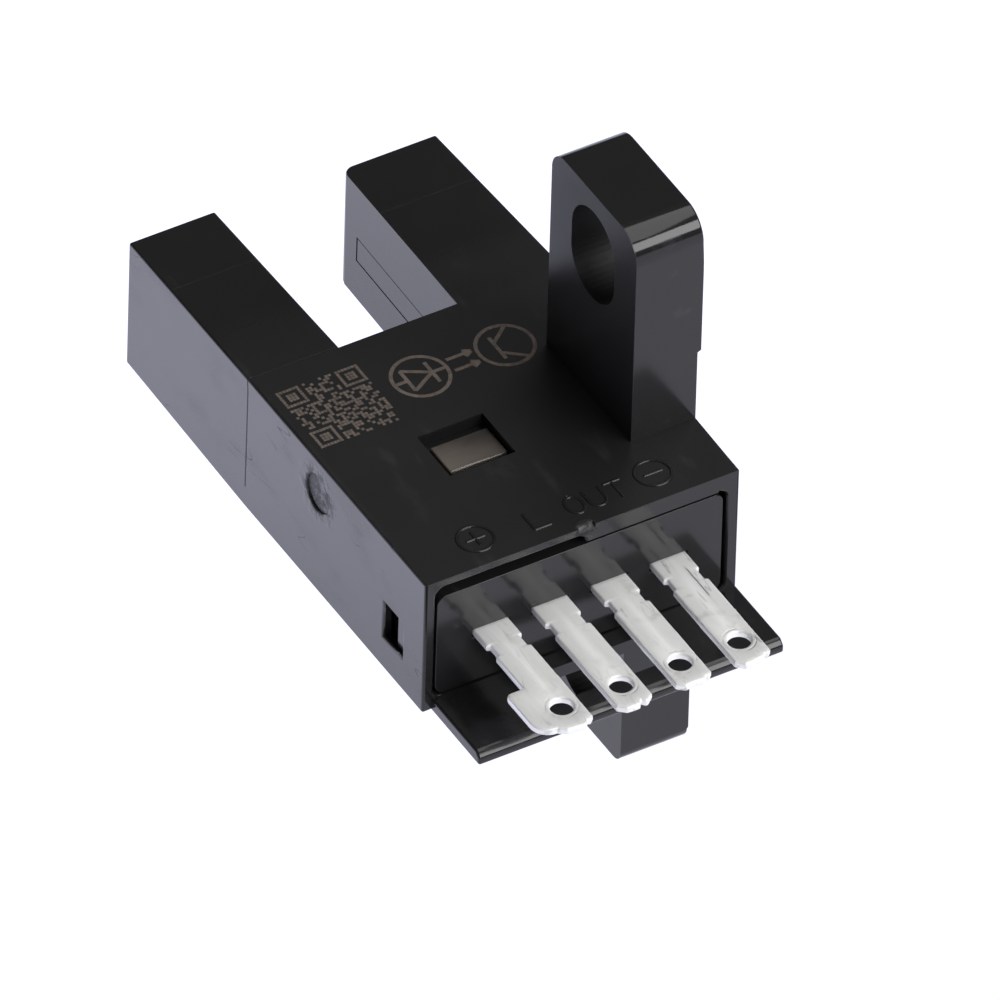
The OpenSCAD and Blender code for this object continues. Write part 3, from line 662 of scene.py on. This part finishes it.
class SWITCH_OT_terminals(Operator):
    """Four stamped terminals: blade with a solder eye and torn tip, and the tail that bends down through the board"""

    bl_idname = "switch.terminals"
    bl_label = "Terminals"

    def blade_outline(self, look, tip, middle, with_tab):
        """Corners of a blade, anticlockwise from the tip, seen from above."""
        half, root = look.width / 2, BASE_HIGH[1]
        notch_1 = RIM_Y - look.notch_y
        notch_0 = notch_1 - look.notch_l
        slope = look.notch * 0.5
        right = [(half - look.tip_cut, tip), (half, tip + look.tip_cut), (half, notch_0 - slope),
                 (half - look.notch, notch_0), (half - look.notch, notch_1), (half, notch_1 + slope), (half, root)]
        left = [(-x, y) for x, y in right[::-1]]
        if with_tab:
            start, out = tip + look.tab_from_tip, half + look.tab
            end, corner = start + look.tab_l, look.tab * 0.3
            t = np.radians(np.linspace(0, 90, 9))
            upper = np.stack([-out + corner * (1 - np.sin(t)), end - corner * (1 - np.cos(t))], axis=1)
            lower = np.stack([-half - look.tab * np.cos(t), start + look.tab * (1 - np.sin(t))], axis=1)
            left = left[:5] + [(-half, end)] + upper.tolist() + lower.tolist() + left[6:]
        return np.array(right + left) + (middle, 0.0)

    def inner_track(self, look, outline, eye):
        """Points inside the outline that the eye can see: most of the way to it near the tip, and beyond that straight
        across towards the middle line, on two lines that close in on it up to the root."""
        root, start = BASE_HIGH[1], eye[1] + look.tab_l - look.eye
        t = np.clip((outline[:, 1] - start) / (root - start), 0, 1)
        aside = outline[:, 0] - eye[0]
        across = np.stack([np.sign(aside) * look.width * (0.2 - 0.14 * t), outline[:, 1] - eye[1]], axis=1)
        at_root = outline[:, 1] > root - 0.001 * MM
        across[at_root, 1] -= look.thickness
        across[at_root, 0] = aside[at_root] * 0.12
        return eye + np.where((outline[:, 1] > start)[:, None], across, 0.8 * (outline - eye))

    def execute(self, context):
        look = context.scene.switch_terminal
        chance = np.random.default_rng(look.seed)
        for number, node in enumerate(TERMINALS):
            low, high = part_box(node)
            middle = high[0] - look.width / 2
            top = high[2]
            bottom = top - look.thickness
            outline = along_edges(self.blade_outline(look, low[1], middle, number == 0), 0.05 * MM)
            # Torn tip: the outline draws back by a slow wave and one narrow tear, and never past its cut end
            across = (outline[:, 0] - middle) / look.width
            wave = 0.2 + 0.2 * np.sin(across * 5.0 + chance.uniform(0, 6.3))
            tear = np.exp(-((across - chance.uniform(0.1, 0.34)) / 0.06) ** 2)
            at_tip = np.clip(1 - (outline[:, 1] - low[1]) / (0.8 * look.tip_cut), 0, 1)
            outline[:, 1] += look.rag * at_tip * np.clip(wave + tear, 0, 1)
            eye = np.array([middle, low[1] + look.eye_from_tip])
            track = self.inner_track(look, outline, eye)
            angle = np.arctan2(*(track - eye).T[::-1])
            hole = eye + look.eye / 2 * np.stack([np.cos(angle), np.sin(angle)], axis=1)
            blade = pierced_plate(outline, track, hole, eye, bottom, top, look.edge)
            # Tail: straight on at the strip's middle height, a quarter turn, then down to the pin's end
            t = np.radians(np.linspace(0, 90, 9))
            bend_y, level = high[1] - look.thickness / 2 - look.bend, (bottom + top) / 2
            turn = np.stack([bend_y + look.bend * np.sin(t), level - look.bend * (1 - np.cos(t))], axis=1)
            flat_path = np.concatenate([[(BASE_HIGH[1] - look.thickness, level)], turn, [(turn[-1, 0], low[2])]])
            path = np.insert(flat_path, 0, middle, axis=1)
            half, flat = look.tail / 2, look.thickness / 2 * 0.98
            tail = swept(path, [(half, -flat), (half, flat), (-half, flat), (-half, -flat)], (1.0, 0.0, 0.0))
            put_piece(f"terminal_strip_{number + 1}", [blade, tail],
                      tinned_strip(f"tin_{number + 1}", 0.6 + 0.5 * (number > 1), eye, number == 3), (node,))
        return {"FINISHED"}


class SWITCH_OT_windows(Operator):
    """Indicator plate with rounded edges, and the finish of the two arm windows"""

    bl_idname = "switch.windows"
    bl_label = "Windows"

    def execute(self, context):
        look = context.scene.switch_window
        rounded_copy("indicator_window", "indicator_plate", look.edge, indicator_plastic())
        dark, light = tuple(look.filter), tuple(2.0 * c for c in look.filter)
        finish = cloudy("filter_plastic", dark, light, 0.6, 0.2, IOR=1.43)
        for node in ("emitter_window", "detector_window"):
            finish_node(node, finish)
        return {"FINISHED"}


def finish_node(node, material):
    """Gives a carried-over CAD node its finish."""
    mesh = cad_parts[node].data
    mesh.materials.clear()
    mesh.materials.append(material)


class SWITCH_OT_inside(Operator):
    """Finishes of the pieces inside the case: chips, leads, board, small parts and solder"""

    bl_idname = "switch.inside"
    bl_label = "Inside pieces"

    def execute(self, context):
        tin = cloudy("lead_tin", (0.62, 0.62, 0.6), (0.78, 0.78, 0.76), 2.0, 0.4, Metallic=0.8)
        clear = cloudy("emitter_epoxy", (0.30, 0.34, 0.46), (0.42, 0.46, 0.58), 0.8, 0.2, IOR=1.54)
        dark = cloudy("detector_epoxy", (0.012, 0.012, 0.014), (0.03, 0.03, 0.034), 0.8, 0.25, IOR=1.54)
        moulded = cloudy("transistor_black", (0.015, 0.015, 0.016), (0.035, 0.035, 0.036), 3.0, 0.55)
        ceramic = cloudy("ceramic", (0.52, 0.42, 0.28), (0.66, 0.56, 0.4), 2.5, 0.55)
        lamp = cloudy("lamp_resin", (0.72, 0.66, 0.5), (0.86, 0.8, 0.66), 1.5, 0.3)
        solder = cloudy("solder", (0.66, 0.67, 0.68), (0.82, 0.83, 0.84), 4.0, 0.28, Metallic=1.0)
        for node, material in {
            "emitter": clear, "emitter_leads": tin, "detector": dark, "detector_leads": tin,
            "circuit_board": circuit_board(), "indicator_led": lamp, "output_transistor": moulded,
            "emitter_resistor": ceramic, "indicator_resistor": ceramic, "bypass_capacitor": ceramic,
            "solder_joints": solder,
        }.items():
            finish_node(node, material)
        return {"FINISHED"}


class SWITCH_OT_raised_marks(Operator):
    """Raised marks by the terminals: a ringed plus, a ringed minus and the plain letters of the two others"""

    bl_idname = "switch.raised_marks"
    bl_label = "Raised marks"

    def execute(self, context):
        look = context.scene.switch_mark
        profile = ridge_profile(look.ridge_w, look.ridge_h)
        material = black_plastic("mark_plastic", context.scene.switch_case.satin)
        first, second, third, fourth = (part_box(node)[1][0] - context.scene.switch_terminal.width / 2
                                        for node in TERMINALS)
        row = MARK_ROW
        sign, tall = look.ring * 0.55, look.letter_h / 2
        wide = tall * 0.72

        def ringed(x, crossed):
            """Ring round a sign: one bar, and a second across it where asked."""
            shells = [swept(arc((x, row), look.ring, 0, 345, 24), profile, None, True),
                      swept(straight((x - sign, row), (x + sign, row)), profile, None)]
            if crossed:
                shells += [swept(straight((x, row - sign), (x, row + sign)), profile, None)]
            return shells

        put_piece("plus_mark", ringed(first, True), material)
        put_piece("minus_mark", ringed(fourth, False), material)
        row -= LETTER_DROP
        corner = [(second - wide, row + tall), (second - wide, row - tall), (second + wide, row - tall)]
        put_piece("lamp_mark", [swept(straight(a, b), profile, None) for a, b in zip(corner, corner[1:])], material)
        pitch = tall * 1.9
        o, u, t = third - pitch, third, third + pitch
        bowl = row - tall + wide
        u_path = np.concatenate([straight((u - wide, row + tall), (u - wide, bowl), 5)[:-1],
                                 arc((u, bowl), wide, 180, 360, 13),
                                 straight((u + wide, bowl), (u + wide, row + tall), 5)[1:]])
        o_path = arc((o, row), 1.0, 0, 345, 24)
        o_path[:, 0] = o + (o_path[:, 0] - o) * wide
        o_path[:, 1] = row + (o_path[:, 1] - row) * tall
        put_piece("output_mark", [
            swept(o_path, profile, None, True), swept(u_path, profile, None),
            swept(straight((t - wide, row + tall), (t + wide, row + tall)), profile, None),
            swept(straight((t, row + tall), (t, row - tall)), profile, None),
        ], material)
        return {"FINISHED"}


class SWITCH_OT_burnt_marks(Operator):
    """Burnt-in marks: a patch of random cells, and the plain circuit symbols of a lamp and a light switch"""

    bl_idname = "switch.burnt_marks"
    bl_label = "Burnt-in marks"

    patch_corner = (-13.03 * MM, 2.07 * MM)
    patch_cells = (25, 25)
    symbol_row = 3.77 * MM
    lamp_x, light_switch_x = -7.85 * MM, -4.25 * MM
    symbol_r = 1.1 * MM

    def cells(self, look):
        """Patch of flat cells: each filled place of a seeded random grid, with a square target in three corners, gets
        one closed box, all worked out at once as the eight corners of a box plus the corner of its cell."""
        chance = np.random.default_rng(look.seed)
        grid = chance.random(self.patch_cells) < 0.52
        ring = np.abs(np.arange(-4, 5))
        ring = np.maximum(ring[:, None], ring[None, :])
        target = (ring == 3) | (ring < 2)
        grid[:8, :8], grid[:8, -8:], grid[-8:, -8:] = target[1:, 1:], target[1:, :-1], target[:-1, :-1]
        filled = np.argwhere(grid)
        corner = np.array(self.patch_corner) + filled * look.cell
        unit = np.array([(x, y, z) for z in (-1, 1) for y in (0, 1) for x in (0, 1)], float)
        size = np.array([look.cell * 0.86, look.cell * 0.86, look.burn_h])
        place = np.concatenate([corner, np.full((len(corner), 1), TOP_Z)], axis=1)
        points = place[:, None] + unit[None] * size
        box = np.array([(0, 2, 3, 1), (4, 5, 7, 6), (0, 1, 5, 4), (2, 6, 7, 3), (0, 4, 6, 2), (1, 3, 7, 5)])
        faces = (np.arange(len(filled))[:, None, None] * 8 + box[None]).reshape(-1, 4)
        return points.reshape(-1, 3), faces.tolist()

    def execute(self, context):
        look = context.scene.switch_mark
        material = burnt_mark()
        put_piece("cell_patch", [self.cells(look)], material, smooth=False)
        profile, r, y = flat_profile(look.stroke, look.burn_h), self.symbol_r, self.symbol_row
        a, b = self.lamp_x, self.light_switch_x

        def lines(*ends):
            """Straight strokes, each a little higher than the one before, so that no two tops lie in one plane."""
            return [swept(straight(p, q), profile * (1.0, 1.05 + 0.05 * i), None) for i, (p, q) in enumerate(ends)]

        lamp = [swept(arc((a, y), r, 0, 352.5, 48), profile, None, True)] + lines(
            ((a - 0.5 * r, y - 0.55 * r), (a - 0.5 * r, y + 0.55 * r)),
            ((a - 0.5 * r, y + 0.55 * r), (a + 0.45 * r, y)), ((a + 0.45 * r, y), (a - 0.5 * r, y - 0.55 * r)),
            ((a + 0.45 * r, y - 0.55 * r), (a + 0.45 * r, y + 0.55 * r)),
            ((a - r, y), (a - 0.5 * r, y)), ((a + 0.45 * r, y), (a + r, y)))
        put_piece("lamp_symbol", lamp, material, smooth=False)
        light_switch = [swept(arc((b, y), r, 0, 352.5, 48), profile, None, True)] + lines(
            ((b - 0.3 * r, y - 0.6 * r), (b - 0.3 * r, y + 0.6 * r)),
            ((b - 0.3 * r, y + 0.25 * r), (b + 0.45 * r, y + 0.85 * r)),
            ((b - 0.3 * r, y - 0.25 * r), (b + 0.45 * r, y - 0.85 * r)))
        put_piece("light_switch_symbol", light_switch, material, smooth=False)
        rays = []
        for rise in (0.3 * r, -0.3 * r):
            start, end = (a + 1.15 * r, y + rise), (b - 1.15 * r, y + rise)
            rays += [(start, end), (end, (end[0] - 0.28 * r, end[1] + 0.16 * r)),
                     (end, (end[0] - 0.28 * r, end[1] - 0.16 * r))]
        put_piece("beam_symbol", lines(*rays), material, smooth=False)
        return {"FINISHED"}


class SWITCH_OT_stage(Operator):
    """Pale glowing floor, dim surroundings, two soft boxes and the camera of the photograph"""

    bl_idname = "switch.stage"
    bl_label = "Stage"

    def floor(self, look):
        """Flat disc: points at radius * (cos t, sin t), a ring joined to its middle."""
        t = np.linspace(0, 2 * math.pi, 97)[:-1]
        rings = np.concatenate([[0.0], np.geomspace(0.02, look.floor, 12)])
        points = np.stack([np.outer(rings, np.cos(t)), np.outer(rings, np.sin(t)),
                           np.full((len(rings), len(t)), FLOOR_Z)], axis=-1)
        mesh = bpy.data.meshes.new("floor")
        mesh.from_pydata(points.reshape(-1, 3).tolist(), [], grid_quads(len(rings), len(t), False, True).tolist())
        work = bmesh.new()
        work.from_mesh(mesh)
        bmesh.ops.remove_doubles(work, verts=work.verts, dist=MM * 0.01)
        work.to_mesh(mesh)
        work.free()
        it = Finish("floor_white", 0.9, Base_Color=(0.0, 0.0, 0.0, 1.0), Emission_Strength=look.floor_glow,
                    Specular_IOR_Level=0.0)
        far = it.rise(it.axis("Y") * math.cos(CAMERA_AZIMUTH) + it.axis("X") * math.sin(CAMERA_AZIMUTH), *FAR_SIDE)
        # Painted shadow: the far floor's light is dimmed on the side nearer the object, in place of the object's shadow
        past_painted_shadow = it.rise(it.axis("Y") * 0.35 - it.axis("X"), *PAINTED_SHADOW_EDGE)
        shaded = it.mix(past_painted_shadow, tuple(0.7 * c for c in look.floor_far), tuple(look.floor_far))
        it.feed("Emission Color", it.mix(far, tuple(look.floor_near), shaded))
        floor = bpy.data.objects.new("floor", mesh)
        floor.data.materials.append(it.material)
        bpy.context.scene.collection.objects.link(floor)

    def surroundings(self, look):
        """Light that rises from the horizon to the zenith, over a pale ground that shows where the floor ends."""
        world = bpy.data.worlds.new("surroundings")
        world.use_nodes = True
        bpy.context.scene.world = world
        tree = world.node_tree
        back = next(n for n in tree.nodes if n.type == "BACKGROUND")
        way = tree.nodes.new("ShaderNodeTexCoord")
        split = tree.nodes.new("ShaderNodeSeparateXYZ")
        tree.links.new(way.outputs["Generated"], split.inputs[0])
        brighter = tree.nodes.new("ShaderNodeMath")
        brighter.operation = "MAXIMUM"
        for place, ends in enumerate(((*SKY_BAND, look.horizon, look.zenith), (*GROUND_BAND, look.ground, 0.0))):
            band = tree.nodes.new("ShaderNodeMapRange")
            band.interpolation_type = "SMOOTHSTEP"
            for socket, value in zip(("From Min", "From Max", "To Min", "To Max"), ends):
                band.inputs[socket].default_value = value
            tree.links.new(split.outputs["Z"], band.inputs["Value"])
            tree.links.new(band.outputs[0], brighter.inputs[place])
        tree.links.new(brighter.outputs[0], back.inputs["Color"])

    def soft_box(self, name, way, distance, width, height, brightness):
        """Area light in a direction from the object, facing it; its power gives the asked brightness."""
        light = bpy.data.lights.new(name, "AREA")
        light.shape, light.size, light.size_y = "RECTANGLE", width, height
        light.energy = brightness * width * height * math.pi
        box = bpy.data.objects.new(name, light)
        way = Vector(way).normalized()
        box.location = CAMERA_AIM + way * distance
        box.rotation_euler = way.to_track_quat("Z", "Y").to_euler()
        box.visible_camera = False
        bpy.context.scene.collection.objects.link(box)

    def camera(self):
        """Camera of the photograph: right and up turned by its roll, aim moved in its own picture plane."""
        turn, lift = CAMERA_AZIMUTH, CAMERA_ELEVATION
        back = Vector((math.sin(turn) * math.cos(lift), -math.cos(turn) * math.cos(lift), math.sin(lift)))
        level = Vector((math.cos(turn), math.sin(turn), 0.0))
        raised = back.cross(level)
        right = level * math.cos(CAMERA_ROLL) + raised * math.sin(CAMERA_ROLL)
        up = raised * math.cos(CAMERA_ROLL) - level * math.sin(CAMERA_ROLL)
        place = CAMERA_AIM + right * CAMERA_OFFSET[0] + up * CAMERA_OFFSET[1] + back * CAMERA_DISTANCE
        lens = bpy.data.cameras.new("photo_camera")
        lens.lens, lens.sensor_width, lens.clip_start = CAMERA_LENS, CAMERA_SENSOR, 0.05
        camera = bpy.data.objects.new("photo_camera", lens)
        camera.matrix_world = Matrix((right, up, back)).transposed().to_4x4()
        camera.location = place
        bpy.context.scene.collection.objects.link(camera)
        bpy.context.scene.camera = camera

    def execute(self, context):
        look = context.scene.switch_stage
        self.floor(look)
        self.surroundings(look)
        self.soft_box("front_box", *FRONT_BOX, look.front)
        self.soft_box("top_box", *TOP_BOX, look.top)
        self.camera()
        context.scene.view_settings.view_transform = "Standard"
        return {"FINISHED"}


OPERATORS = (SWITCH_OT_case, SWITCH_OT_terminals, SWITCH_OT_windows, SWITCH_OT_inside, SWITCH_OT_raised_marks,
             SWITCH_OT_burnt_marks, SWITCH_OT_stage)


class SWITCH_PT_panel(Panel):
    """Sidebar panel with the settings and the steps of the switch"""

    bl_idname = "SWITCH_PT_panel"
    bl_label = "Slotted optical switch"
    bl_space_type = "VIEW_3D"
    bl_region_type = "UI"
    bl_category = "Switch"

    def draw(self, context):
        for name, settings in SETTINGS.items():
            box = self.layout.box()
            box.label(text=settings.__name__)
            for prop in settings.__annotations__:
                box.prop(getattr(context.scene, name), prop)
        for operator in OPERATORS:
            self.layout.operator(operator.bl_idname)


CLASSES = (*SETTINGS.values(), *OPERATORS, SWITCH_PT_panel)


def register():
    for cls in CLASSES:
        bpy.utils.register_class(cls)
    for name, settings in SETTINGS.items():
        setattr(bpy.types.Scene, name, PointerProperty(type=settings))


def unregister():
    for name in SETTINGS:
        delattr(bpy.types.Scene, name)
    for cls in reversed(CLASSES):
        bpy.utils.unregister_class(cls)


def main():
    register()
    for operator in OPERATORS:
        group, name = operator.bl_idname.split(".")
        getattr(getattr(bpy.ops, group), name)()
    bpy.context.view_layer.update()


if __name__ == "__main__":
    main()
